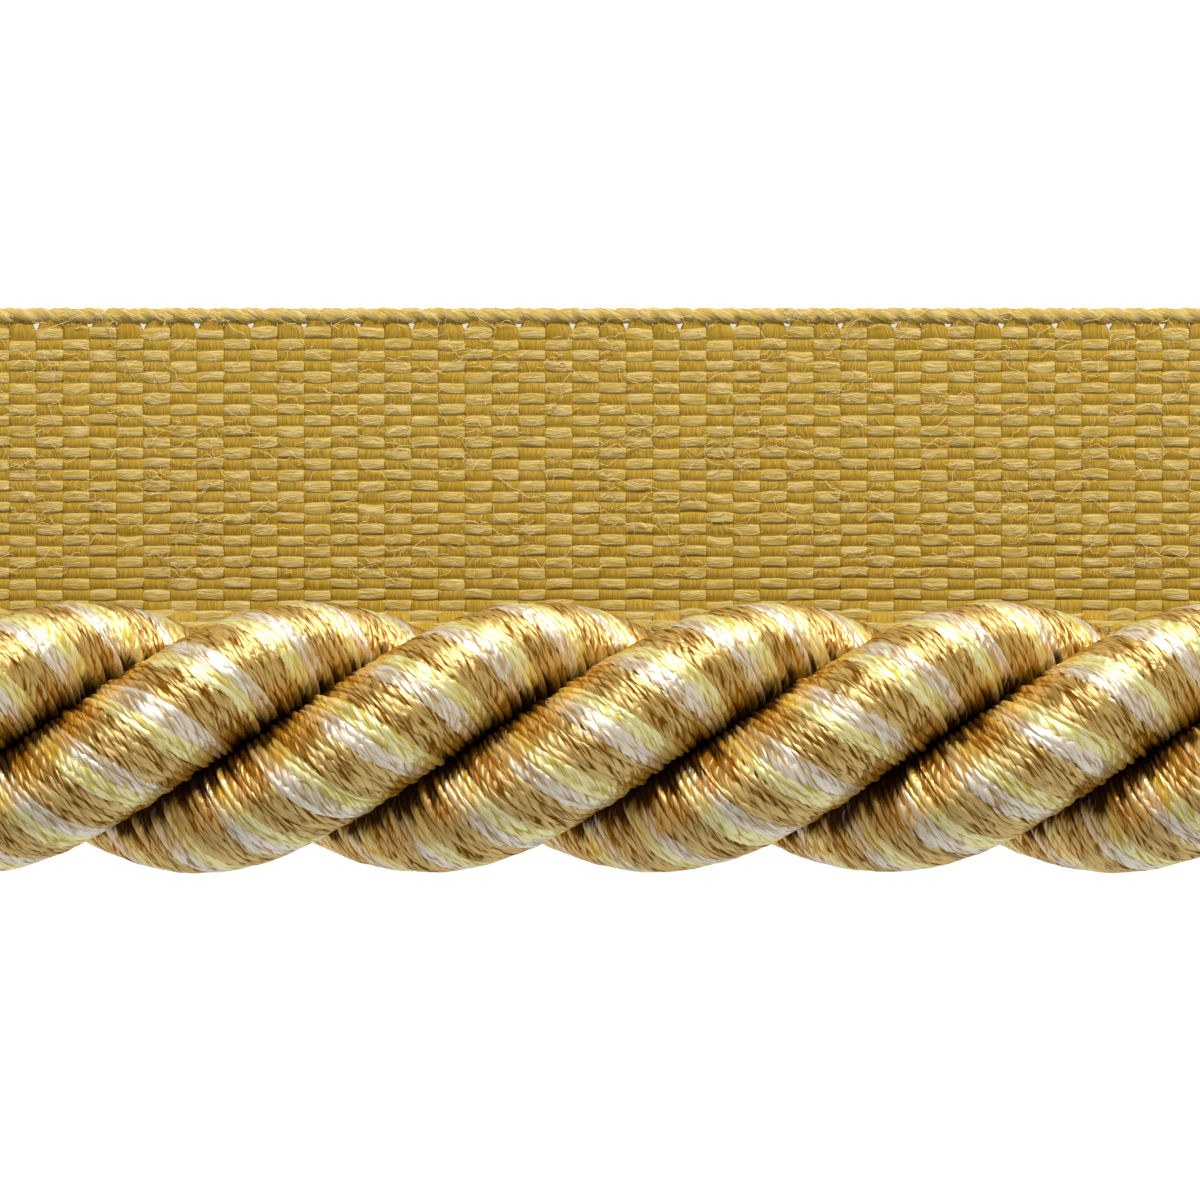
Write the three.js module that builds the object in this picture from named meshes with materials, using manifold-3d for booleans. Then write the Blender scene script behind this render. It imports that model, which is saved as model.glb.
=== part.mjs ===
// Lip cord trim: a twisted cord of three plies beside a flat woven lip tape, which is sewn into a seam.
// Sizes are millimetres. X runs along the trim, Y from the cord towards the lip's free edge, and Z up
// from the surface that the trim lies on. The origin is on that surface, below the middle of the trim.
import * as THREE from "three";
import { mergeVertices } from "three/addons/utils/BufferGeometryUtils.js";
import Module from "manifold-3d";

// The cut length is a whole number of lays, one lay being a full turn of a ply around the cord.
const LAY_LENGTH = 24.1;
const LAYS = 4;
const TRIM_LENGTH = LAYS * LAY_LENGTH;

// The cord and its plies
const CORD_DIAMETER = 9.5;
const PLY_COUNT = 3;
const PLY_RADIUS = 2.02;
const PLY_SIDES = 16;
const STEPS_PER_LAY = 24;
const RESTING_FLAT_DEPTH = 0.1; // how far the underside is pressed flat where it meets the surface

// The lip tape
const LIP_REACH = 15.2; // from the cord's axis to the lip's free edge
const TAPE_WIDTH = 12.0;
const TAPE_THICKNESS = 1.0;
const SELVEDGE_RADIUS = 0.58; // the thicker woven edge of the lip
const SEAM_STRIP_INSET = 0.5; // from the cord's overhang to the strip that is sewn in a seam
const EDGE_ARC_SEGMENTS = 4;

const CORD_RADIUS = CORD_DIAMETER / 2;
const CORD_AXIS_HEIGHT = CORD_RADIUS - RESTING_FLAT_DEPTH;
const CORD_AXIS_Y = (CORD_RADIUS - LIP_REACH) / 2; // centres the trim's whole width on Y = 0
const LIP_EDGE_Y = CORD_AXIS_Y + LIP_REACH;

const PLY_ORBIT = CORD_RADIUS - PLY_RADIUS; // from the cord's axis to a ply's centre line
const PITCH_RADIUS = LAY_LENGTH / (2 * Math.PI); // travel along the cord for each radian of twist

const wasm = await Module();
wasm.setup();

// Outlines are drawn in the trim's cross-section, across as x and up as y, and extruded along z.
// This turns them to lie along X, with the cross-section in Y and Z.
const ALONG_TRIM = new THREE.Matrix4().makeBasis(
  new THREE.Vector3(0, 1, 0),
  new THREE.Vector3(0, 0, 1),
  new THREE.Vector3(1, 0, 0),
);

function extrudedAlongTrim(outline, options) {
  const geometry = new THREE.ExtrudeGeometry(outline, {
    depth: TRIM_LENGTH,
    bevelEnabled: false,
    ...options,
  });
  return geometry.translate(0, 0, -TRIM_LENGTH / 2);
}

function solidOf(geometry) {
  const bare = geometry.clone();
  bare.deleteAttribute("normal");
  bare.deleteAttribute("uv");
  const merged = mergeVertices(bare, 1e-4);
  return new wasm.Manifold(
    new wasm.Mesh({
      numProp: 3,
      vertProperties: merged.attributes.position.array,
      triVerts: new Uint32Array(merged.index.array),
    }),
  );
}

function geometryOf(solid) {
  const { vertProperties, triVerts } = solid.getMesh();
  const geometry = new THREE.BufferGeometry();
  geometry.setAttribute("position", new THREE.BufferAttribute(vertProperties, 3));
  geometry.setIndex(new THREE.BufferAttribute(triVerts, 1));
  geometry.computeVertexNormals();
  return geometry;
}

// A ply is a round strand that winds around the cord's axis. A cut square across the cord meets it at
// a slant, so its outline there is a rounded bean, a little hollow on the side of the axis.
function plyOutline() {
  const strandRadius = Math.hypot(PITCH_RADIUS, PLY_ORBIT);
  const points = [];
  for (let side = 0; side < PLY_SIDES; side++) {
    const angle = (2 * Math.PI * side) / PLY_SIDES;
    const outward = PLY_ORBIT + PLY_RADIUS * Math.cos(angle);
    const sideways = PLY_RADIUS * Math.sin(angle);
    const lead = (sideways * PLY_ORBIT) / (strandRadius * PITCH_RADIUS);
    const point = new THREE.Vector2(outward, (sideways * PITCH_RADIUS) / strandRadius);
    points.push(point.rotateAround(new THREE.Vector2(0, 0), lead));
  }
  return new THREE.Shape(points);
}

// S-laid: seen from any side, the plies rise to the right, so they turn backwards as X grows.
function layPly(geometry, startAngle) {
  const axis = new THREE.Vector3(0, 0, 1);
  const positions = geometry.attributes.position;
  const point = new THREE.Vector3();
  for (let i = 0; i < positions.count; i++) {
    point.fromBufferAttribute(positions, i);
    point.applyAxisAngle(axis, startAngle - point.z / PITCH_RADIUS);
    positions.setXYZ(i, point.x, point.y, point.z);
  }
  return geometry.applyMatrix4(ALONG_TRIM);
}

// The plies' lowest crowns are pressed flat against the surface.
function pressedFlat(geometry) {
  const surface = new THREE.BoxGeometry(TRIM_LENGTH + 2, CORD_DIAMETER + 2, CORD_RADIUS);
  surface.translate(0, 0, -CORD_AXIS_HEIGHT - CORD_RADIUS / 2);
  return geometryOf(solidOf(geometry).subtract(solidOf(surface)));
}

const yarnFinish = new THREE.MeshStandardMaterial({ color: 0xc4a76c, roughness: 0.4, metalness: 0 });
const tapeFinish = new THREE.MeshStandardMaterial({ color: 0xb7984a, roughness: 0.9, metalness: 0 });

// The cord: three like plies, a third of a turn apart
const cord = new THREE.Group();
cord.position.set(0, CORD_AXIS_Y, CORD_AXIS_HEIGHT);
for (let ply = 0; ply < PLY_COUNT; ply++) {
  const straight = extrudedAlongTrim(plyOutline(), { steps: LAYS * STEPS_PER_LAY });
  const laid = layPly(straight, Math.PI / 2 + (2 * Math.PI * ply) / PLY_COUNT);
  const mesh = new THREE.Mesh(pressedFlat(laid), yarnFinish);
  mesh.name = `cord_ply_${ply + 1}`;
  cord.add(mesh);
}

// The lip tape: flat below, with a round inner edge tucked under the cord and a round selvedge outside
function tapeOutline() {
  const halfThickness = TAPE_THICKNESS / 2;
  const innerArcY = LIP_EDGE_Y - TAPE_WIDTH + halfThickness;
  const outerArcY = LIP_EDGE_Y - SELVEDGE_RADIUS;
  const selvedgeRise = Math.asin((TAPE_THICKNESS - SELVEDGE_RADIUS) / SELVEDGE_RADIUS);
  const outline = new THREE.Shape();
  outline.moveTo(innerArcY, 0);
  outline.absarc(outerArcY, SELVEDGE_RADIUS, SELVEDGE_RADIUS, -Math.PI / 2, Math.PI - selvedgeRise);
  outline.lineTo(CORD_AXIS_Y + CORD_RADIUS + SEAM_STRIP_INSET, TAPE_THICKNESS);
  outline.absarc(innerArcY, halfThickness, halfThickness, Math.PI / 2, 1.5 * Math.PI);
  return outline;
}

const tapeGeometry = extrudedAlongTrim(tapeOutline(), { curveSegments: EDGE_ARC_SEGMENTS });
const tape = new THREE.Mesh(tapeGeometry.applyMatrix4(ALONG_TRIM), tapeFinish);
tape.name = "lip_tape";

const trim = new THREE.Group();
trim.add(cord, tape);

export default trim;
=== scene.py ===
import math

import bmesh
import bpy
import numpy as np
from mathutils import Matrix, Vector


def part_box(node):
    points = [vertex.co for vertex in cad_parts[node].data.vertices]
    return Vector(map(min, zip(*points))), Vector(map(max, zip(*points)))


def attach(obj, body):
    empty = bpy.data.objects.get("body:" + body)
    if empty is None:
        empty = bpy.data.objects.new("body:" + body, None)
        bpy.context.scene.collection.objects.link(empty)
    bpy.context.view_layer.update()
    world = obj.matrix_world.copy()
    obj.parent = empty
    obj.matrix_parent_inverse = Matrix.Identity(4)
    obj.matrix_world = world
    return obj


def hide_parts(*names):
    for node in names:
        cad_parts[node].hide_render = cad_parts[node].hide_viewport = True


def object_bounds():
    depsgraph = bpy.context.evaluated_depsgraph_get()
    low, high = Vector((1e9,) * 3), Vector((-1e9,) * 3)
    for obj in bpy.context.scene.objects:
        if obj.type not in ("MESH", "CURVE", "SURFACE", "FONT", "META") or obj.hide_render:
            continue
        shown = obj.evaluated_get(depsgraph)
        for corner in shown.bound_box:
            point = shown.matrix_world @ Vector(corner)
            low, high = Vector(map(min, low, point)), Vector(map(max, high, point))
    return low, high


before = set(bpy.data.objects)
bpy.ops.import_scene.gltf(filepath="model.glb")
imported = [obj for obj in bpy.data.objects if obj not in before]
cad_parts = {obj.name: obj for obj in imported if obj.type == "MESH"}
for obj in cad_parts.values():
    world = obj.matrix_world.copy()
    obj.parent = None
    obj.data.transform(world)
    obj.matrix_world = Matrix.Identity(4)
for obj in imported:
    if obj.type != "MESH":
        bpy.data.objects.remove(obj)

cad_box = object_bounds()

# The table that the trim lies on: white card in a pale room, with one soft lamp standing low beyond the
# lip's free edge, a little to the right. The camera looks straight down at a stretch of the trim a
# little right of its middle.
MM = 0.001
VIEW_WIDTH = 42.19 * MM
VIEW_CENTRE = Vector((8.14, -0.39, 4.65)) * MM
SENSOR_WIDTH = 36.0
LENS = 300.0
LAMP_PLACE = Vector((0.10, 0.51, 0.31))
LAMP_WIDTH, LAMP_HEIGHT = 0.40, 0.13
LAMP_WATTS = 7.6
LAMP_COLOUR = (1.0, 0.98, 0.95)
# The room has a dark warm wall beyond the lip's free edge, and a bright window on the other side.
ROOM_COLOUR, ROOM_BRIGHTNESS = (0.80, 0.79, 0.77), 0.8
WALL_COLOUR, WALL_SIDE_X, WALL_SIDE_Y = (0.28, 0.14, 0.005), -0.5, 0.85
WINDOW_COLOUR = (1.7, 1.7, 1.7)
WALL_FROM, WALL_TO = 0.0, 0.6
WINDOW_FROM, WINDOW_TO = -0.2, -0.8
TABLE_SIZE = 1.6
CARD_COLOUR, CARD_ROUGHNESS = (0.8, 0.8, 0.8), 0.9
CARD_GLOW_COLOUR, CARD_GLOW = (0.92, 0.96, 1.0), 0.6
CARD_GRAIN, CARD_RELIEF = 900.0, 0.02 * MM

camera_data = bpy.data.cameras.new("camera")
camera_data.sensor_width = SENSOR_WIDTH
camera_data.lens = LENS
camera_data.clip_start = 0.01
camera_data.clip_end = 20.0
camera = bpy.data.objects.new("camera", camera_data)
camera.location = VIEW_CENTRE + Vector((0.0, 0.0, VIEW_WIDTH * LENS / SENSOR_WIDTH))
bpy.context.scene.collection.objects.link(camera)
bpy.context.scene.camera = camera
bpy.context.scene.view_settings.view_transform = "Standard"

lamp_data = bpy.data.lights.new("lamp", "AREA")
lamp_data.shape = "RECTANGLE"
lamp_data.size = LAMP_WIDTH
lamp_data.size_y = LAMP_HEIGHT
lamp_data.energy = LAMP_WATTS
lamp_data.color = LAMP_COLOUR
lamp = bpy.data.objects.new("lamp", lamp_data)
lamp.location = LAMP_PLACE
lamp.rotation_mode = "QUATERNION"
lamp.rotation_quaternion = LAMP_PLACE.to_track_quat("Z", "Y")
bpy.context.scene.collection.objects.link(lamp)


def connected(material, node, inputs):
    """Links each of these inputs of a node to another node's result, or gives it a number or colour."""
    for name, value in inputs.items():
        socket = node.inputs[name]
        if isinstance(value, bpy.types.NodeSocket):
            material.node_tree.links.new(value, socket)
        elif socket.type == "RGBA":
            socket.default_value = (*value, 1.0)
        else:
            socket.default_value = value


def wired(material, kind, inputs, result=0, **settings):
    """The result of a new node of this kind."""
    node = material.node_tree.nodes.new(kind)
    for name, value in settings.items():
        setattr(node, name, value)
    connected(material, node, inputs)
    return node.outputs[result]


def calc(material, operation, *values, **settings):
    """The result of a Math node over these values."""
    return wired(material, "ShaderNodeMath", dict(enumerate(values)), operation=operation, **settings)


def scaled(material, value, times, plus=0.0):
    """A value times one number, plus another."""
    return calc(material, "MULTIPLY_ADD", value, times, plus)


def ramped(material, value, low, high, at_low=0.0, at_high=1.0):
    """Goes evenly from at_low to at_high as a value goes from low to high, and stays there beyond."""
    return wired(material, "ShaderNodeMapRange", {
        "Value": value, "From Min": low, "From Max": high, "To Min": at_low, "To Max": at_high})


def mixed(material, share, first, second, **settings):
    """A colour that goes from the first to the second as the share goes from 0 to 1."""
    return wired(material, "ShaderNodeMixRGB", {"Fac": share, "Color1": first, "Color2": second}, **settings)


def parts_of(material, place):
    """The three numbers of a place."""
    return wired(material, "ShaderNodeSeparateXYZ", {"Vector": place}).node.outputs[:]


def noise(material, place, detail, scale=1.0, **inputs):
    """Smooth noise between 0 and 1."""
    return wired(material, "ShaderNodeTexNoise", {
        "Vector": place, "Detail": detail, "Scale": scale, **inputs})


def bare_material(name):
    """A new material, and its shader with nothing linked to it."""
    material = bpy.data.materials.new(name)
    material.use_nodes = True
    return material, material.node_tree.nodes["Principled BSDF"]


room = bpy.data.worlds.new("pale room")
room.use_nodes = True
facing_x, facing_y, _ = parts_of(room, wired(room, "ShaderNodeTexCoord", {}, "Generated"))
towards_wall = scaled(room, facing_x, WALL_SIDE_X, scaled(room, facing_y, WALL_SIDE_Y))
wall = ramped(room, towards_wall, WALL_FROM, WALL_TO)
window = ramped(room, towards_wall, WINDOW_FROM, WINDOW_TO)
windowed_room = mixed(room, window, ROOM_COLOUR, WINDOW_COLOUR)
connected(room, room.node_tree.nodes["Background"], {
    "Color": mixed(room, wall, windowed_room, WALL_COLOUR),
    "Strength": ROOM_BRIGHTNESS,
})
bpy.context.scene.world = room

card, card_shader = bare_material("white card")
card_grain = noise(card, wired(card, "ShaderNodeTexCoord", {}, "Object"), 3.0, CARD_GRAIN)
connected(card, card_shader, {
    "Base Color": CARD_COLOUR,
    "Roughness": CARD_ROUGHNESS,
    "Emission Color": CARD_GLOW_COLOUR,
    "Emission Strength": CARD_GLOW,
    "Normal": wired(card, "ShaderNodeBump", {"Height": card_grain, "Distance": CARD_RELIEF}),
})
table_mesh = bpy.data.meshes.new("table")
table_bm = bmesh.new()
bmesh.ops.create_grid(table_bm, x_segments=1, y_segments=1, size=TABLE_SIZE / 2)
table_bm.to_mesh(table_mesh)
table_bm.free()
table_mesh.materials.append(card)
table = bpy.data.objects.new("table", table_mesh)
bpy.context.scene.collection.objects.link(table)

# The cord's three plies, twisted together. Each real ply is a soft strand wrapped closely in fine shiny
# rayon yarns, each two-fold twisted: two silver, two pale yellow and four bronze, twice over. The plies
# press on each other, and their lowest crowns lie flat on the table.
ply_low, ply_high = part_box("cord_ply_1")
TRIM_LENGTH = cad_box[1].x - cad_box[0].x
CORD_RADIUS = (ply_high.y - ply_low.y) / 2
CORD_AXIS_Y = (ply_high.y + ply_low.y) / 2
CORD_AXIS_Z = ply_high.z - CORD_RADIUS
TABLE_CLEARANCE = 0.01 * MM
LAYS = 4
PITCH_RADIUS = TRIM_LENGTH / LAYS / (2 * math.pi)
PLY_RADIUS = 2.11 * MM
PLY_ORBIT = CORD_RADIUS - PLY_RADIUS
PLY_BUMPS, BUMP_LENGTHS, BUMP_LEAN = 0.035 * MM, (1.3 * MM, 2.9 * MM, 7.0 * MM), 0.3 * MM
PLY_SWELL, SWELL_LENGTHS = 0.02 * MM, (9.0 * MM, 17.0 * MM)
SPARE_LENGTH = 2 * MM  # wound past each end, and then cut off
WELD_DISTANCE, CUT_DISTANCE = 1e-7, 1e-8
# A ply's flanks, which its neighbours press on, are fuller than its crown, with deeper grooves. They
# begin this far round from the crown, in radians, and are full a width further.
FLANK_START, FLANK_WIDTH = 1.15, 0.45
FLANK_FULLNESS = 0.09 * MM
YARNS_AROUND = 16
YARNS_IN_A_SET = 8
YARN_TURNS_IN_A_LAY = 7
YARN_TURN = TRIM_LENGTH / LAYS / YARN_TURNS_IN_A_LAY
YARN_SPACING = YARN_TURN / YARNS_AROUND
YARN_GROOVE, GROOVE_VARIETY, FLANK_GROOVING = 0.032 * MM, 0.4, 3.5
STOUTNESS_ON_CROWN, STOUTNESS_ON_FLANK = 0.012 * MM, 0.06 * MM
YARN_SWAY, SWAYING_WAVES, SWAY_QUICKNESS = 0.22, 16, 1.4
ROWS_IN_A_YARN = 4
COLUMNS_AROUND = 46
EVEN_COLUMNS, CROWDED_COLUMNS = 0.82, 0.18  # the columns crowd a little towards the crown
# A yarn's two strands change places in each twist length, sooner or later by a scatter from yarn to yarn
# and a wander along each. They swing to the sides and rise by these shares of a yarn's width.
TWIST_LENGTH = 0.60 * MM
TWIST_SCATTER, TWIST_WANDER, WANDER_FINENESS = 1.0, 1.6, 0.35
STRAND_RADIUS, STRAND_SWING, STRAND_RISE = 0.08**0.5, 0.22, 0.15
TWIST_RELIEF, FILAMENT_RELIEF = 0.085 * MM, 0.10
# The filaments lie steeper than the yarn, and part here and there between wider clumps.
FILAMENT_SLANT, FILAMENT_SPREAD = 0.28, 0.26
FILAMENT_FINENESS, CLUMP_FINENESS, CLUMP_STRETCH, CLUMP_CURLING = 14.0, 5.0, 0.42, 0.25
YARNS_APART = 50.0  # in the filaments' noise, so that no yarn is like the next
PARTING_WIDTH = 0.05
# How far the edge of a band of colour follows the strands, wavers and frays, in yarns
EDGE_SWING, EDGE_WAVER, EDGE_FRAY, WAVER_FINENESS = 0.4, 0.6, 1.4, 0.9
# What makes a place in the wrapping dark, and by how much: painted shade in the gaps between yarns and low
# between a yarn's strands, more of it near a valley, dark partings between clumps, and tone that differs at
# random by streak, patch and yarn
STREAK_DEPTH, STREAK_LEVEL = 3.6, 1.65
PARTING_DEPTH, PATCH_DEPTH, PATCH_FINENESS = 0.95, 1.9, 1.1
GAP_DEPTH, GAP_IN_VALLEY, GAP_LEVEL = 2.4, 0.8, -0.9
SUNK_DEPTH, YARN_DEPTH = 0.18, 0.4
# How low between a yarn's strands is sunk, and how far off a yarn's middle the gap beside it begins
SUNK_HEIGHT, LEVEL_HEIGHT = 0.05, 0.36
GAP_START, GAP_FULL, GAP_SWING = 0.34, 0.50, 0.35
DULLED_BY_DEPTH = 0.92
# Where the painted golden glow beside a valley, painted light bounced between the shiny yarns, and the
# valley's painted dark core, painted shade, begin and are full, in radians from the crown, and how much
# sooner or later that is on the flank ahead and the flank behind
GLOW_EDGE, GLOW_CORE, GLOW_AHEAD, GLOW_BEHIND, GLOW_SHARE = 0.90, 1.35, 0.90, 1.40, 0.85
VALLEY_EDGE, VALLEY_CORE, VALLEY_AHEAD, VALLEY_BEHIND = 1.50, 1.74, 0.92, 1.07
VALLEY_FRAY, VALLEY_SCATTER, VALLEY_START = 1.6, 0.9, -1.1
# The painted glow's paling and tint, and the colour of the valley's painted shade
GLOW_PALENESS, PAINTED_GLOW_COLOUR, VALLEY_SHADE_COLOUR = 0.65, (0.88, 0.58, 0.15), (0.035, 0.014, 0.002)
# Of each yarn: its colour, its darker colour (painted shade in the gaps, and its own random dark streaks),
# and the tint of its shine
SILVER = (0.37, 0.33, 0.235), (0.28, 0.19, 0.085), (1.0, 0.99, 0.97)
YELLOW = (0.42, 0.39, 0.16), (0.33, 0.26, 0.045), (1.0, 0.97, 0.73)
BRONZE = (0.26, 0.148, 0.014), (0.110, 0.043, 0.001), (1.0, 0.865, 0.47)
SILVER_FIRST = [SILVER] * 2 + [YELLOW] * 2 + [BRONZE] * 4
YELLOW_FIRST = [YELLOW] * 2 + [SILVER] * 2 + [BRONZE] * 4
# Of each ply: the yarns' colours in order, and how far along the trim a set of them begins
PLY_WRAPPINGS = [(SILVER_FIRST, -3.79 * MM), (SILVER_FIRST, 4.63 * MM), (YELLOW_FIRST, 12.79 * MM)]
END_COLOUR, END_GAP_SHADE_COLOUR = (0.60, 0.50, 0.30), (0.16, 0.085, 0.015)
END_YARNS, END_FILAMENTS, END_RELIEF = 4200.0, 15000.0, 0.08 * MM


def gridded(name, along, around, strands=1):
    """Grids laid one on another, one for each strand. Also where each point is: along and around, 0 to 1."""
    mesh = bpy.data.meshes.new(name)
    bm = bmesh.new()
    bmesh.ops.create_grid(bm, x_segments=along, y_segments=around, size=0.5)
    bm.to_mesh(mesh)
    for _ in range(strands - 1):
        bm.from_mesh(mesh)
    bm.to_mesh(mesh)
    bm.free()
    flat = np.zeros(len(mesh.vertices) * 3, np.float32)
    mesh.vertices.foreach_get("co", flat)
    places = flat.reshape(strands, -1, 3).astype(float) + 0.5
    return mesh, places[..., 0], places[..., 1]


def rolled_up(mesh, points, yarn_uv, cut_at=None, end_material=0):
    """Puts a gridded mesh's points in place, closes its seams and ends, and makes it an object. Where a
    place to cut at is given, what is further out than that on either side is cut off first."""
    mesh.vertices.foreach_set("co", points.astype(np.float32).ravel())
    corners = np.zeros(len(mesh.loops), np.int32)
    mesh.loops.foreach_get("vertex_index", corners)
    layer = mesh.uv_layers.new(name="yarn")
    layer.data.foreach_set("uv", yarn_uv.reshape(-1, 2)[corners].astype(np.float32).ravel())
    bm = bmesh.new()
    bm.from_mesh(mesh)
    bmesh.ops.remove_doubles(bm, verts=bm.verts, dist=WELD_DISTANCE)
    for side in (-1, 1) if cut_at else ():
        bmesh.ops.bisect_plane(
            bm, geom=bm.verts[:] + bm.edges[:] + bm.faces[:], dist=CUT_DISTANCE,
            plane_co=(side * cut_at, 0, 0), plane_no=(side, 0, 0), clear_outer=True,
        )
    rims = [edge for edge in bm.edges if edge.is_boundary]
    ends = bmesh.ops.holes_fill(bm, edges=rims, sides=0)["faces"]
    bmesh.ops.recalc_face_normals(bm, faces=bm.faces[:])
    for face in bm.faces:
        face.smooth = True
    for face in ends:
        face.smooth = False
        face.material_index = end_material
    bm.to_mesh(mesh)
    bm.free()
    made = bpy.data.objects.new(mesh.name, mesh)
    bpy.context.scene.collection.objects.link(made)
    return made


def eased(part):
    """Goes smoothly from 0 to 1, and no further."""
    part = np.clip(part, 0, 1)
    return part**2 * (3 - 2 * part)


def uneven(at, seed, wavelengths, size):
    """A smooth wandering value along a strand: a few sine waves with seeded phases."""
    draw = np.random.default_rng(seed)
    total = np.zeros_like(at)
    for wavelength in wavelengths:
        total += np.sin(2 * np.pi * (at / wavelength + draw.random())) * draw.uniform(0.6, 1.0)
    return total * size / len(wavelengths)


def swaying(yarn, around_ply, seed):
    """A value that differs from yarn to yarn and wanders slowly along each, and closes round the ply."""
    draw = np.random.default_rng(seed)
    total = np.zeros_like(yarn)
    for _ in range(SWAYING_WAVES):
        per_yarn = draw.normal() * SWAY_QUICKNESS
        per_turn = draw.integers(-2, 3) - round(per_yarn * YARNS_AROUND / (2 * np.pi))
        spot = yarn + around_ply * YARNS_AROUND / (2 * np.pi)
        total += np.sin(spot * per_yarn + around_ply * per_turn + draw.random() * 2 * np.pi)
    return total / SWAYING_WAVES**0.5


def wrapped_ply(name, start_angle, into_yarn, seed):
    """A ply around the cord's axis, with its yarns' ridges wound around it."""
    reach = TRIM_LENGTH / 2 + YARN_TURN / 2 + SPARE_LENGTH
    rows = 2 * math.ceil(reach / YARN_SPACING) * ROWS_IN_A_YARN
    mesh, along, around = gridded(name, rows, COLUMNS_AROUND)
    yarn = (along - 0.5) * rows / ROWS_IN_A_YARN
    turned = 2 * around - 1
    around_ply = np.pi * (EVEN_COLUMNS * turned + CROWDED_COLUMNS * turned**3)
    sway = YARN_SWAY * swaying(yarn, around_ply, seed + 30)
    centre_x = (yarn + sway + into_yarn) * YARN_SPACING + around_ply * YARN_TURN / (2 * np.pi)

    # The ply's radius at each point: round, fuller on the flanks, a ridge for each yarn, and unevenness
    yarn_number = np.floor(yarn + 1e-6)
    draw = np.random.default_rng(seed)
    stoutness = draw.uniform(-1, 1, YARNS_AROUND)[yarn_number.astype(int) % YARNS_AROUND]
    within_yarn = np.clip(yarn - yarn_number, 0, 1)
    ridge = np.sqrt(1 - (2 * within_yarn - 1) ** 2) - 1
    on_flank = np.clip((np.abs(around_ply) - FLANK_START) / FLANK_WIDTH, 0, 1)
    radius = PLY_RADIUS + FLANK_FULLNESS * eased(on_flank)
    radius += YARN_GROOVE * ridge * (1 + GROOVE_VARIETY * stoutness) * (1 + FLANK_GROOVING * on_flank)
    radius += (STOUTNESS_ON_CROWN + STOUTNESS_ON_FLANK * on_flank) * stoutness
    radius += uneven(centre_x + BUMP_LEAN * around_ply, seed + 10, BUMP_LENGTHS, PLY_BUMPS)
    swell = uneven(centre_x, seed + 20, SWELL_LENGTHS, PLY_SWELL)

    # S-laid around the cord's axis, with the ply's section square to its own slanting run
    turn = start_angle - centre_x / PITCH_RADIUS
    lead = math.hypot(PITCH_RADIUS, PLY_ORBIT)
    outward = PLY_ORBIT + swell + radius * np.cos(around_ply)
    sideways = radius * np.sin(around_ply)
    x = centre_x + sideways * PLY_ORBIT / lead
    y = outward * np.cos(turn) - sideways * PITCH_RADIUS / lead * np.sin(turn)
    z = outward * np.sin(turn) + sideways * PITCH_RADIUS / lead * np.cos(turn)
    points = np.stack([x, y + CORD_AXIS_Y, np.maximum(z + CORD_AXIS_Z, TABLE_CLEARANCE)], axis=-1)
    uv = np.stack([around_ply * PLY_RADIUS / MM, yarn], axis=-1)
    return rolled_up(mesh, points, uv, cut_at=TRIM_LENGTH / 2, end_material=1)


def place_at(material, x, y, z=0.0):
    """A place made of three numbers."""
    return wired(material, "ShaderNodeCombineXYZ", {"X": x, "Y": y, "Z": z})


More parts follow.
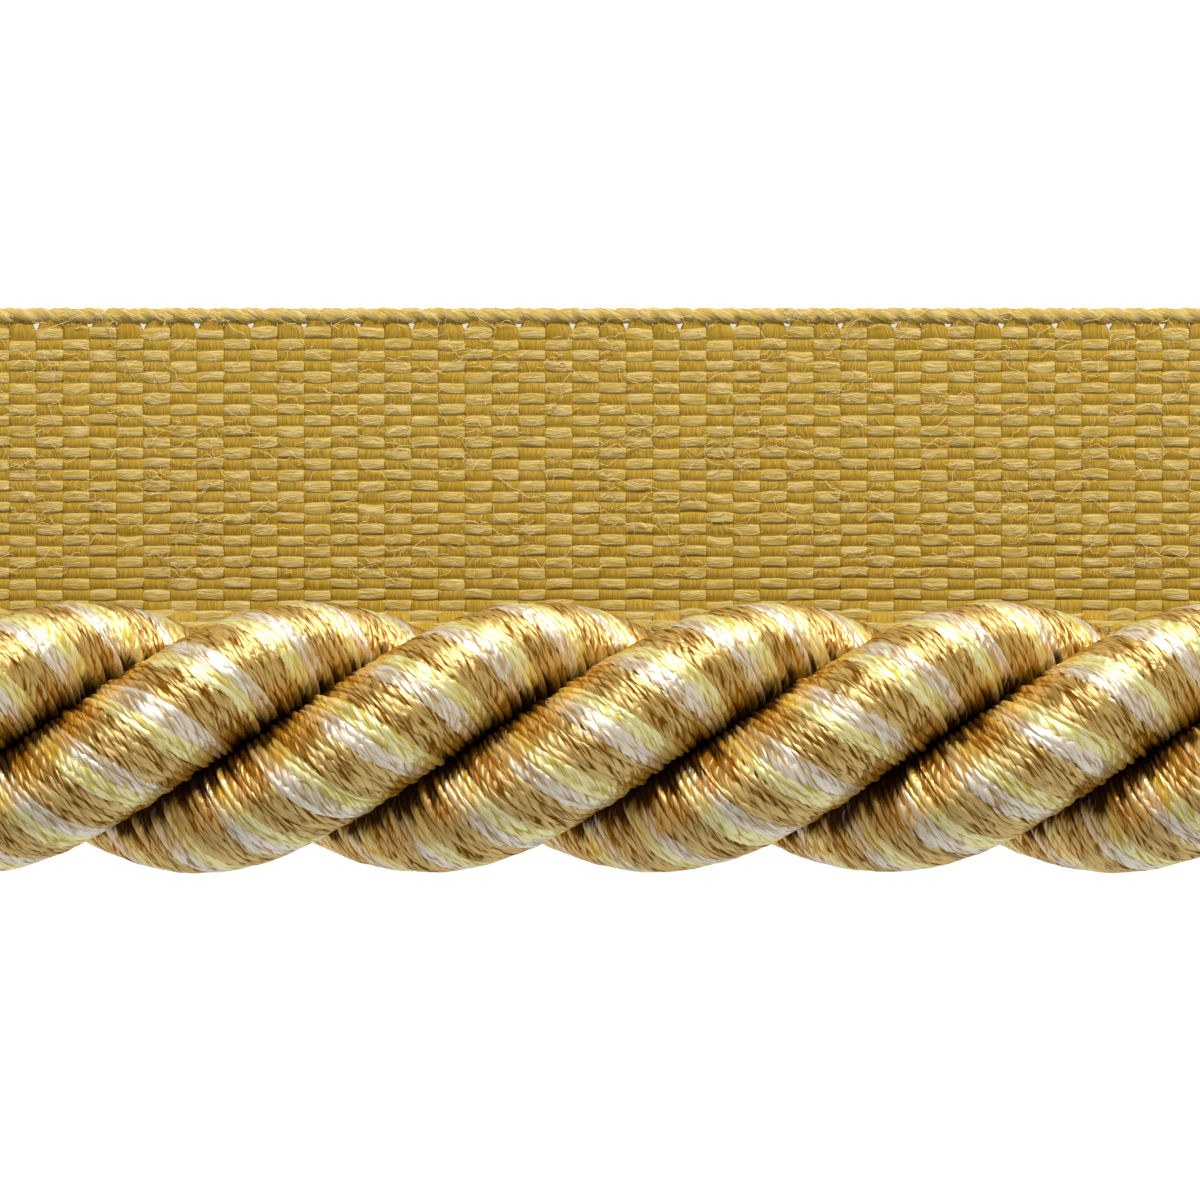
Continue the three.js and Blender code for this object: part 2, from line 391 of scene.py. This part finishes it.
def wrapped_yarns(name, colours, first):
    """Twisted rayon yarns side by side. U is millimetres round the ply from its crown, and V counts the
    yarns. The first is the place in its set of the yarn whose number is 0."""
    material, shader = bare_material(name)
    places = wired(material, "ShaderNodeUVMap", {}, uv_map="yarn")
    along, across, _ = parts_of(material, places)
    chance = wired(material, "ShaderNodeTexWhiteNoise", {
        "W": calc(material, "FLOOR", across)}, noise_dimensions="1D")

    # How far the two strands of a yarn have turned round each other, and how far each is off the middle
    wander = noise(material, places, 1.0, WANDER_FINENESS)
    turns = calc(material, "DIVIDE", along, 2 * TWIST_LENGTH / MM)
    strays = scaled(material, chance, TWIST_SCATTER, scaled(material, wander, TWIST_WANDER))
    phase = scaled(material, calc(material, "ADD", turns, strays), 2 * math.pi)
    swing = scaled(material, calc(material, "SINE", phase), -STRAND_SWING)
    rise = scaled(material, calc(material, "COSINE", phase), STRAND_RISE)

    # The filaments, and the clumps they part into
    steeper = scaled(material, along, FILAMENT_SLANT, scaled(material, across, FILAMENT_SPREAD))
    filaments = noise(material, place_at(
        material, along, scaled(material, steeper, FILAMENT_FINENESS), scaled(material, chance, YARNS_APART)),
        2.0)
    clumps = noise(material, place_at(
        material, scaled(material, along, CLUMP_STRETCH), scaled(material, steeper, CLUMP_FINENESS)),
        1.5, Distortion=CLUMP_CURLING)
    off_parting = calc(material, "ABSOLUTE", calc(material, "SUBTRACT", clumps, 0.5))
    parting = ramped(material, off_parting, 0.0, PARTING_WIDTH, 1.0, 0.0)

    # Which of the eight yarns of a set this one is, where a yarn bulges over its neighbour
    waver = noise(material, places, 1.0, WAVER_FINENESS)
    wavered = calc(material, "ADD", scaled(material, swing, EDGE_SWING, across), scaled(
        material, waver, EDGE_WAVER, first - EDGE_WAVER / 2))
    frayed = scaled(material, filaments, EDGE_FRAY, -EDGE_FRAY / 2)
    place_in_set = calc(
        material, "FLOORED_MODULO", calc(material, "ADD", wavered, frayed), YARNS_IN_A_SET)
    changes = [i for i in range(YARNS_IN_A_SET) if i == 0 or colours[i] != colours[i - 1]]

    def banded(shade):
        """The colours of the set's yarns in order, in the first, second or third shade of each."""
        bands = wired(material, "ShaderNodeValToRGB", {
            "Fac": calc(material, "DIVIDE", place_in_set, YARNS_IN_A_SET)})
        ramp = bands.node.color_ramp
        ramp.interpolation = "CONSTANT"
        while len(ramp.elements) < len(changes):
            ramp.elements.new(0.5)
        for element, i in zip(ramp.elements, changes):
            element.position = i / YARNS_IN_A_SET
            element.color = (*colours[i][shade], 1.0)
        return bands

    # The height of the upper strand, each a half circle
    off_middle = calc(material, "SUBTRACT", calc(material, "FRACT", across), 0.5)

    def strand(side):
        """The height of the strand that swings to this side."""
        off_strand = calc(material, "ABSOLUTE", scaled(material, swing, -side, off_middle))
        under_arch = calc(material, "SUBTRACT", STRAND_RADIUS**2, calc(
            material, "POWER", off_strand, 2.0))
        arch = calc(material, "SQRT", calc(material, "MAXIMUM", under_arch, 0.0))
        return scaled(material, rise, side, arch)

    twisted = calc(material, "MAXIMUM", strand(1.0), strand(-1.0))
    sunk = ramped(material, twisted, SUNK_HEIGHT, LEVEL_HEIGHT, 1.0, 0.0)
    off_yarn = calc(material, "ABSOLUTE", scaled(material, swing, GAP_SWING, off_middle))
    gap = ramped(material, off_yarn, GAP_START, GAP_FULL)

    def off_crown(ahead, behind):
        """How far round the ply from its crown, stretched by these on the flanks ahead and behind."""
        return calc(material, "MAXIMUM", scaled(material, along, ahead), scaled(material, along, -behind))

    # The valley between two plies: its dark core, painted shade with a ragged edge, and the golden glow
    # beside it, painted light bounced between the yarns
    ply_radius = PLY_RADIUS / MM
    ragged = scaled(material, filaments, VALLEY_FRAY, scaled(
        material, chance, VALLEY_SCATTER, VALLEY_START))
    valley = ramped(
        material, calc(material, "ADD", ragged, off_crown(VALLEY_AHEAD, VALLEY_BEHIND)),
        VALLEY_EDGE * ply_radius, VALLEY_CORE * ply_radius)
    near_valley = ramped(
        material, off_crown(GLOW_AHEAD, GLOW_BEHIND), GLOW_EDGE * ply_radius, GLOW_CORE * ply_radius)

    # How dark each place is: painted shade in the gaps and between strands, dark partings, and random tone
    patchy = noise(material, places, 2.0, PATCH_FINENESS)
    streaky = scaled(material, filaments, -STREAK_DEPTH, STREAK_LEVEL)
    in_gap = calc(material, "MULTIPLY", gap, scaled(material, patchy, GAP_DEPTH, scaled(
        material, near_valley, GAP_IN_VALLEY, GAP_LEVEL)))
    parted = scaled(material, parting, PARTING_DEPTH, scaled(
        material, patchy, -PATCH_DEPTH, PATCH_DEPTH / 2))
    shade_and_tone = calc(material, "ADD", calc(material, "ADD", in_gap, parted), scaled(
        material, sunk, SUNK_DEPTH, scaled(material, chance, YARN_DEPTH, streaky)))

    surface = mixed(material, shade_and_tone, banded(0), banded(1), use_clamp=True)
    paler = wired(material, "ShaderNodeGamma", {"Color": surface, "Gamma": GLOW_PALENESS})
    golden = mixed(material, 1.0, paler, PAINTED_GLOW_COLOUR, blend_type="MULTIPLY")
    with_painted_glow = mixed(material, scaled(material, near_valley, GLOW_SHARE), surface, golden)
    # The painted shade of the valley and of the gaps also dulls the shine there
    dulled = calc(material, "MULTIPLY_ADD", shade_and_tone, DULLED_BY_DEPTH, valley, use_clamp=True)
    relief = scaled(material, filaments, FILAMENT_RELIEF, twisted)
    connected(material, shader, {
        "Base Color": mixed(material, valley, with_painted_glow, VALLEY_SHADE_COLOUR),
        "Specular Tint": banded(2),
        "Specular IOR Level": calc(material, "SUBTRACT", 1.0, dulled),
        "Normal": wired(material, "ShaderNodeBump", {"Height": relief, "Distance": TWIST_RELIEF}),
        "Tangent": wired(material, "ShaderNodeTangent", {}, direction_type="UV_MAP", uv_map="yarn"),
        "Metallic": 0.30,
        "IOR": 2.4,
        "Roughness": 0.46,
        "Anisotropic": 0.82,
        "Anisotropic Rotation": 0.25,
    })
    return material


cut_ends, cut_ends_shader = bare_material("cut yarn ends")
end_places = wired(cut_ends, "ShaderNodeTexCoord", {}, "Object")
off_yarn_end = wired(cut_ends, "ShaderNodeTexVoronoi", {"Vector": end_places, "Scale": END_YARNS})
filament_ends = noise(cut_ends, end_places, 3.0, END_FILAMENTS)
# Darker between the cut yarn ends: painted shade in the gaps, with random filament tone
between_ends = scaled(cut_ends, off_yarn_end, 1.2, scaled(cut_ends, filament_ends, 1.6, -0.9))
connected(cut_ends, cut_ends_shader, {
    "Base Color": mixed(cut_ends, between_ends, END_COLOUR, END_GAP_SHADE_COLOUR, use_clamp=True),
    "Roughness": 0.9,
    "Normal": wired(cut_ends, "ShaderNodeBump", {
        "Height": between_ends, "Distance": END_RELIEF}, invert=True),
})

for number, (colours, set_start) in enumerate(PLY_WRAPPINGS, start=1):
    start_angle = math.pi / 2 + (number - 1) * 2 * math.pi / 3
    into_set = set_start / YARN_SPACING % YARNS_IN_A_SET
    ply = wrapped_ply(f"ply_{number}", start_angle, into_set % 1, seed=number)
    ply.data.materials.append(wrapped_yarns(f"wrapped yarns {number}", colours, -math.floor(into_set)))
    ply.data.materials.append(cut_ends)
    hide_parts(f"cord_ply_{number}")
    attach(ply, "root")

# The warp of the lip, a narrow tape woven plain from soft spun yarns. Flattened warp yarns run along it,
# over and under the weft. The outermost is the selvedge's: thicker, and laid double, its two folds turned
# round each other. The tape's inner margin is tucked under the cord and bends up to it.
lip_low, lip_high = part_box("lip_tape")
WARP_YARNS = 30
WARP_PITCH = 0.387 * MM
SECOND_WARP_INSET = 0.90 * MM
WARP_HALF_WIDTH, WARP_HALF_THICKNESS = 0.25 * MM, 0.065 * MM
WARP_SWING, SWING_SHARPNESS = 0.060 * MM, 2.3
WARP_WANDER, WARP_WANDER_LENGTHS = 0.09 * MM, (3.1 * MM, 8.0 * MM, 21.0 * MM)
MIDDLE_HEIGHT = 0.22 * MM
LOWEST_HEIGHT = 0.005 * MM
MARGIN_WIDTH, MARGIN_LIFT = 1.4 * MM, 0.78 * MM
PICKS = 101
PICK_PITCH = TRIM_LENGTH / PICKS
STEPS_IN_A_PICK, STEP_GATHERING = 5, 0.45
WARP_SIDES = 6
FLATTENING = 0.95
# Below 1, so that a yarn's number in its UV stays the same all round it
ROUND_A_YARN = 0.999
# A warp yarn's floats taper towards their ends, and vary in width, side to side and in height
FLOAT_TAPER, FLOAT_WIDTHS, FLOAT_SHIFTS, FLOAT_HEIGHTS = 0.14, 0.10, 0.03 * MM, 0.13
SELVEDGE_FOLDS = 2
SELVEDGE_INSET, SELVEDGE_HEIGHT = 0.24 * MM, 0.26 * MM
FOLD_RADIUS, FOLD_FLATNESS, FOLD_TURN_IN_A_MM = 0.255 * MM, 0.45, 2.6
FOLD_ORBIT, ORBIT_FLATNESS, ORBIT_VARIETY, ORBIT_STRAY_IN_A_MM = 0.050 * MM, 0.6, 0.15, 3.5
SPUN_WAVES_ALONG, SPUN_WAVES_AROUND, SPUN_WAVE_HEIGHT, SPUN_YARNS_APART = 3.0, 5.0, 5.0, 7.3
SPUN_FIBRES_ALONG, SPUN_CONTRAST, SPUN_LEVEL, SPUN_RELIEF = 1.5, 5.0, -2.1, 0.03 * MM
# Painted light: the low places between the yarns, up to this height, are painted a saturated gold that stands
# for light passing through the yarns and lifting the shade between them
BETWEEN_YARNS_PAINTED_GLOW, BETWEEN_YARNS_SHARE = (0.50, 0.31, 0.025), 0.6
BETWEEN_YARNS_LOW, BETWEEN_YARNS_HIGH = 0.24 * MM, 0.31 * MM

warp_places = lip_high.y - SECOND_WARP_INSET - WARP_PITCH * np.arange(WARP_YARNS - 2, -1, -1)
warp_places = np.append(warp_places, lip_high.y - SELVEDGE_INSET)


def flattened(wave):
    """Makes a round section's sine or cosine that of a flattened yarn, with a level top and full edges."""
    return np.sign(wave) * np.abs(wave)**FLATTENING


def lifted(y):
    """How far the tape's inner margin bends up to meet the underside of the cord."""
    return MARGIN_LIFT * eased((lip_low.y + MARGIN_WIDTH - y) / MARGIN_WIDTH)


def woven_warp():
    """All the warp yarns, swinging up over one pick and down under the next."""
    strands = WARP_YARNS - 1 + SELVEDGE_FOLDS
    mesh, along, around = gridded("lip_warp", PICKS * STEPS_IN_A_PICK, WARP_SIDES, strands)
    numbers = np.arange(strands)[:, None]
    on_selvedge = numbers >= WARP_YARNS - 1
    picks = along * PICKS
    picks = picks - STEP_GATHERING * np.sin(2 * np.pi * picks) / (2 * np.pi)
    pick = np.clip(np.floor(picks + 1e-6), 0, PICKS - 1).astype(int)
    bow = np.sin(np.pi * np.clip(picks - pick, 0, 1))
    swing = np.tanh(SWING_SHARPNESS * np.sin(np.pi * (picks + numbers))) / np.tanh(SWING_SHARPNESS)
    draw = np.random.default_rng(40)
    chances = draw.normal(size=(4, strands, PICKS))[:, numbers, pick] * bow
    x = (picks / PICKS - 0.5) * TRIM_LENGTH
    wander = np.stack([
        uneven(x[i], 50 + i, WARP_WANDER_LENGTHS, WARP_WANDER) for i in range(strands)])

    places = np.append(warp_places, warp_places[-1])[:, None]
    y = places + wander + FLOAT_SHIFTS * chances[1]
    z = MIDDLE_HEIGHT + lifted(places) + WARP_SWING * swing * (1 + FLOAT_HEIGHTS * chances[2])
    half_width = WARP_HALF_WIDTH * (1 + FLOAT_TAPER * (bow - 1) + FLOAT_WIDTHS * chances[0])

    round_fold = np.pi * (picks + numbers) + ORBIT_STRAY_IN_A_MM * wander / MM
    orbit = FOLD_ORBIT * (1 + ORBIT_VARIETY * chances[3])
    y = np.where(on_selvedge, lip_high.y - SELVEDGE_INSET + orbit * np.cos(round_fold), y)
    z = np.where(on_selvedge, SELVEDGE_HEIGHT + ORBIT_FLATNESS * orbit * np.sin(round_fold), z)
    half_width = np.where(on_selvedge, FOLD_RADIUS, half_width)
    half_thickness = np.where(on_selvedge, FOLD_RADIUS * FOLD_FLATNESS, WARP_HALF_THICKNESS)
    section_turn = np.where(on_selvedge, FOLD_TURN_IN_A_MM * x / MM, 0)

    angle = 2 * np.pi * around - 2 * np.pi / 3 + section_turn
    y = y + half_width * flattened(np.cos(angle))
    z = z + half_thickness * flattened(np.sin(angle))
    points = np.stack([x, y, np.maximum(z, LOWEST_HEIGHT)], axis=-1)
    uv = np.stack([x / MM, numbers + ROUND_A_YARN * around], axis=-1)
    return rolled_up(mesh, points, uv)


def spun_yarn(name, light, deep, fibres_around):
    """Soft spun yarn. U is millimetres along a yarn, V its number and how far round it."""
    material, shader = bare_material(name)
    along, across, _ = parts_of(material, wired(material, "ShaderNodeUVMap", {}, uv_map="yarn"))
    around = calc(material, "FRACT", across)
    apart = scaled(material, calc(material, "FLOOR", across), SPUN_YARNS_APART)
    wave = noise(material, place_at(
        material, scaled(material, along, SPUN_WAVES_ALONG),
        scaled(material, around, SPUN_WAVES_AROUND), apart), 1.0)
    wavy = scaled(material, wave, SPUN_WAVE_HEIGHT, scaled(material, around, fibres_around))
    fibres = noise(material, place_at(
        material, scaled(material, along, SPUN_FIBRES_ALONG), wavy, apart), 2.0, Roughness=0.6)
    lightness = scaled(material, fibres, SPUN_CONTRAST, SPUN_LEVEL)
    strands = mixed(material, lightness, deep, light, use_clamp=True)
    _, _, height = parts_of(material, wired(material, "ShaderNodeTexCoord", {}, "Object"))
    # Painted light low between the yarns, set by height above the table
    painted_glow_between_yarns = ramped(
        material, height, BETWEEN_YARNS_LOW, BETWEEN_YARNS_HIGH, BETWEEN_YARNS_SHARE, 0.0)
    connected(material, shader, {
        "Base Color": mixed(material, painted_glow_between_yarns, strands, BETWEEN_YARNS_PAINTED_GLOW),
        "Normal": wired(material, "ShaderNodeBump", {"Height": fibres, "Distance": SPUN_RELIEF}),
        "Roughness": 0.8,
        "Specular IOR Level": 0.15,
    })
    return material


def belongs_to_lip(piece):
    """This piece stands for the lip's solid, and stays with it."""
    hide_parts("lip_tape")
    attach(piece, "root")


warp = woven_warp()
warp.data.materials.append(spun_yarn("warp yarn", (0.455, 0.365, 0.17), (0.30, 0.20, 0.020), 38.0))
belongs_to_lip(warp)

# The weft of the lip: one broad, loose spun yarn that goes to and fro across the warp, over one yarn and
# under the next. It draws together towards the edges, and turns back round the outermost warp yarns.
WEFT_HALF_WIDTH, WEFT_HALF_THICKNESS = 0.51 * MM, 0.07 * MM
WEFT_SWING = 0.050 * MM
WEFT_VARIETY, WEFT_VARIETY_LENGTHS, VARIETY_FROM_PICK = 0.04, (0.9 * MM, 2.3 * MM), 0.01
TURN_HALF_WIDTH, TURN_HALF_THICKNESS = 0.24 * MM, 0.10 * MM
TURN_INNER_REACH = 0.2 * MM
TURN_DRAWN_IN = 0.13 * MM
STEPS_IN_A_CROSSING, STEPS_IN_A_TURN, WEFT_SIDES = 2 * WARP_YARNS + 1, 6, 12
CROSSING_LENGTH = 13.0  # of yarn in millimetres
# Measured in warp yarns: how far past the last one a crossing ends, how near the edge the weft gathers,
# and how far to each side of a warp yarn it runs level, before it swings
PAST_LAST_WARP, GATHERED_FROM, LEVEL_REACH = 0.6, 1.75, 0.3


def woven_weft():
    """The one weft yarn, crossing and turning back at each edge."""
    steps = STEPS_IN_A_CROSSING + STEPS_IN_A_TURN
    mesh, along, around = gridded("lip_weft", PICKS * steps - STEPS_IN_A_TURN, WEFT_SIDES)
    at = along * (PICKS - STEPS_IN_A_TURN / steps)
    pick = np.clip(np.floor(at + 1e-6), 0, PICKS - 1)
    step = (at - pick) * steps
    crossed = np.clip(step / STEPS_IN_A_CROSSING, 0, 1)
    turned = np.clip((step - STEPS_IN_A_CROSSING) / STEPS_IN_A_TURN, 0, 1)
    outward = 1 - 2 * (pick % 2)

    # Which warp yarn it is at, counted from the inner edge, with two steps beside each
    warp_rows = np.arange(WARP_YARNS)
    first_row, last_row = -PAST_LAST_WARP, WARP_YARNS - 1 + PAST_LAST_WARP
    rows = np.sort(np.concatenate([
        [first_row, last_row], warp_rows - LEVEL_REACH, warp_rows + LEVEL_REACH]))
    steps_outward = np.where(outward > 0, crossed, 1 - crossed) * STEPS_IN_A_CROSSING
    row = np.interp(steps_outward, np.arange(len(rows)), rows)
    y = np.interp(
        row, [first_row, *warp_rows, last_row],
        [warp_places[0] - TURN_INNER_REACH, *warp_places, lip_high.y - TURN_HALF_WIDTH])

    from_edge = np.minimum(row - first_row, last_row - row)
    gathered = 1 - eased(from_edge / GATHERED_FROM)
    swing = np.clip(np.cos(np.pi * (row + pick)) / np.cos(np.pi * LEVEL_REACH), -1, 1)
    swing = swing * np.clip(from_edge / PAST_LAST_WARP, 0, 1)
    z = MIDDLE_HEIGHT + lifted(y) - WEFT_SWING * swing
    drawn_in = TURN_DRAWN_IN * gathered * np.where(crossed > 0.5, 1, -1)
    x = (pick + 0.5) * PICK_PITCH - TRIM_LENGTH / 2 + drawn_in
    x = x + (PICK_PITCH - 2 * TURN_DRAWN_IN) * (1 - np.cos(np.pi * turned)) / 2

    half_width = WEFT_HALF_WIDTH + (TURN_HALF_WIDTH - WEFT_HALF_WIDTH) * gathered
    variety = uneven(y + pick * VARIETY_FROM_PICK, 90, WEFT_VARIETY_LENGTHS, WEFT_VARIETY)
    half_width = half_width * (1 + variety)
    half_thickness = WEFT_HALF_THICKNESS + (TURN_HALF_THICKNESS - WEFT_HALF_THICKNESS) * gathered
    heading = outward * (np.pi / 2 - np.pi * turned)
    angle = 2 * np.pi * around - np.pi / 2
    sideways = half_width * flattened(np.cos(angle))
    x = x + sideways * np.sin(heading)
    y = y - sideways * np.cos(heading)
    z = z + half_thickness * flattened(np.sin(angle))
    uv = np.stack([(pick + crossed) * CROSSING_LENGTH, ROUND_A_YARN * around], axis=-1)
    return rolled_up(mesh, np.stack([x, y, z], axis=-1), uv)


weft = woven_weft()
weft.data.materials.append(spun_yarn("weft yarn", (0.34, 0.225, 0.042), (0.25, 0.15, 0.004), 60.0))
belongs_to_lip(weft)

# The whip stitches that join the cord and the lip: one sewing thread that winds round the tape's inner
# edge and through the underside of the cord.
THREAD_RADIUS = 0.12 * MM
STITCHES_IN_A_LAY = 9
STEPS_IN_A_STITCH, THREAD_SIDES = 20, 8
STITCH_INSET = 0.05 * MM
STITCH_HALF_WIDTH, STITCH_HALF_HEIGHT, STITCH_HEIGHT = 0.62 * MM, 0.52 * MM, 1.12 * MM

stitch_count = LAYS * STITCHES_IN_A_LAY
thread_mesh, along, around = gridded("stitches", stitch_count * STEPS_IN_A_STITCH, THREAD_SIDES)
wound = 2 * np.pi * stitch_count * along
from_thread = THREAD_RADIUS * np.cos(2 * np.pi * around)
stitch_points = np.stack([
    (along - 0.5) * TRIM_LENGTH + THREAD_RADIUS * np.sin(2 * np.pi * around),
    lip_low.y + STITCH_INSET + (STITCH_HALF_WIDTH + from_thread) * np.cos(wound),
    STITCH_HEIGHT + (STITCH_HALF_HEIGHT + from_thread) * np.sin(wound)], axis=-1)
stitches = rolled_up(thread_mesh, stitch_points, np.stack([wound, ROUND_A_YARN * around], axis=-1))
stitches.data.materials.append(spun_yarn("sewing thread", (0.50, 0.36, 0.10), (0.28, 0.17, 0.01), 9.0))
belongs_to_lip(stitches)

# Stray fibres of the spun yarns. They stand off the tape here and there in thin curves, with both ends
# held in the weave.
FIBRES, STEPS_IN_A_FIBRE, FIBRE_SIDES = 2400, 6, 3
FIBRE_COLOUR = (0.58, 0.45, 0.20)
FIBRE_RADIUS, FIBRE_ROOT_HEIGHT = 0.011 * MM, 0.32 * MM
FIBRE_RISE, FIBRE_RISE_VARIETY = 0.07 * MM, 0.12 * MM
FIBRE_LENGTH, FIBRE_LENGTH_VARIETY = 0.5 * MM, 1.7 * MM
FIBRES_ACROSS = 0.25  # the share that comes from the weft
FIBRE_SLANT, FIBRE_BEND, FIBRE_WAVE = 1.1, 2.4, 0.5
FIBRE_END_INSET, FIBRE_CORD_INSET, FIBRE_EDGE_INSET = 2.4 * MM, 2.2 * MM, 2.35 * MM


def stray_fibres():
    """All the stray fibres, each thin at both ends."""
    mesh, along, around = gridded("lip_fuzz", STEPS_IN_A_FIBRE, FIBRE_SIDES, FIBRES)
    draw = np.random.default_rng(77)
    chances = draw.random((8, FIBRES, 1))
    length = FIBRE_LENGTH + FIBRE_LENGTH_VARIETY * chances[0]**2
    heading = np.where(chances[1] < FIBRES_ACROSS, np.pi / 2, 0) + FIBRE_SLANT * (chances[2] - 0.5)
    bend = FIBRE_BEND * (chances[3] - 0.5) * (along - 0.5)
    wave = FIBRE_WAVE * np.sin(2 * np.pi * (1.5 * along + chances[4]))
    direction = heading + bend + wave
    middle_x = (chances[5] - 0.5) * (TRIM_LENGTH - FIBRE_END_INSET)
    lip_width = lip_high.y - warp_places[0] - FIBRE_EDGE_INSET
    middle_y = warp_places[0] + FIBRE_CORD_INSET + chances[6] * lip_width
    x = middle_x + length * (along - 0.5) * np.cos(direction)
    y = np.minimum(middle_y + length * (along - 0.5) * np.sin(direction), lip_high.y)
    rise = FIBRE_RISE + FIBRE_RISE_VARIETY * chances[7]
    z = FIBRE_ROOT_HEIGHT + rise * np.sin(np.pi * along)
    angle = 2 * np.pi * around
    radius = FIBRE_RADIUS * np.sqrt(np.clip(4 * along * (1 - along), 0, 1))
    x = x - radius * np.cos(angle) * np.sin(direction)
    y = y + radius * np.cos(angle) * np.cos(direction)
    z = z + radius * np.sin(angle)
    return rolled_up(mesh, np.stack([x, y, z], axis=-1), np.stack([along, around], axis=-1))


fibre, fibre_shader = bare_material("stray fibre")
connected(fibre, fibre_shader, {"Base Color": FIBRE_COLOUR, "Roughness": 0.6})
fuzz = stray_fibres()
fuzz.data.materials.append(fibre)
belongs_to_lip(fuzz)
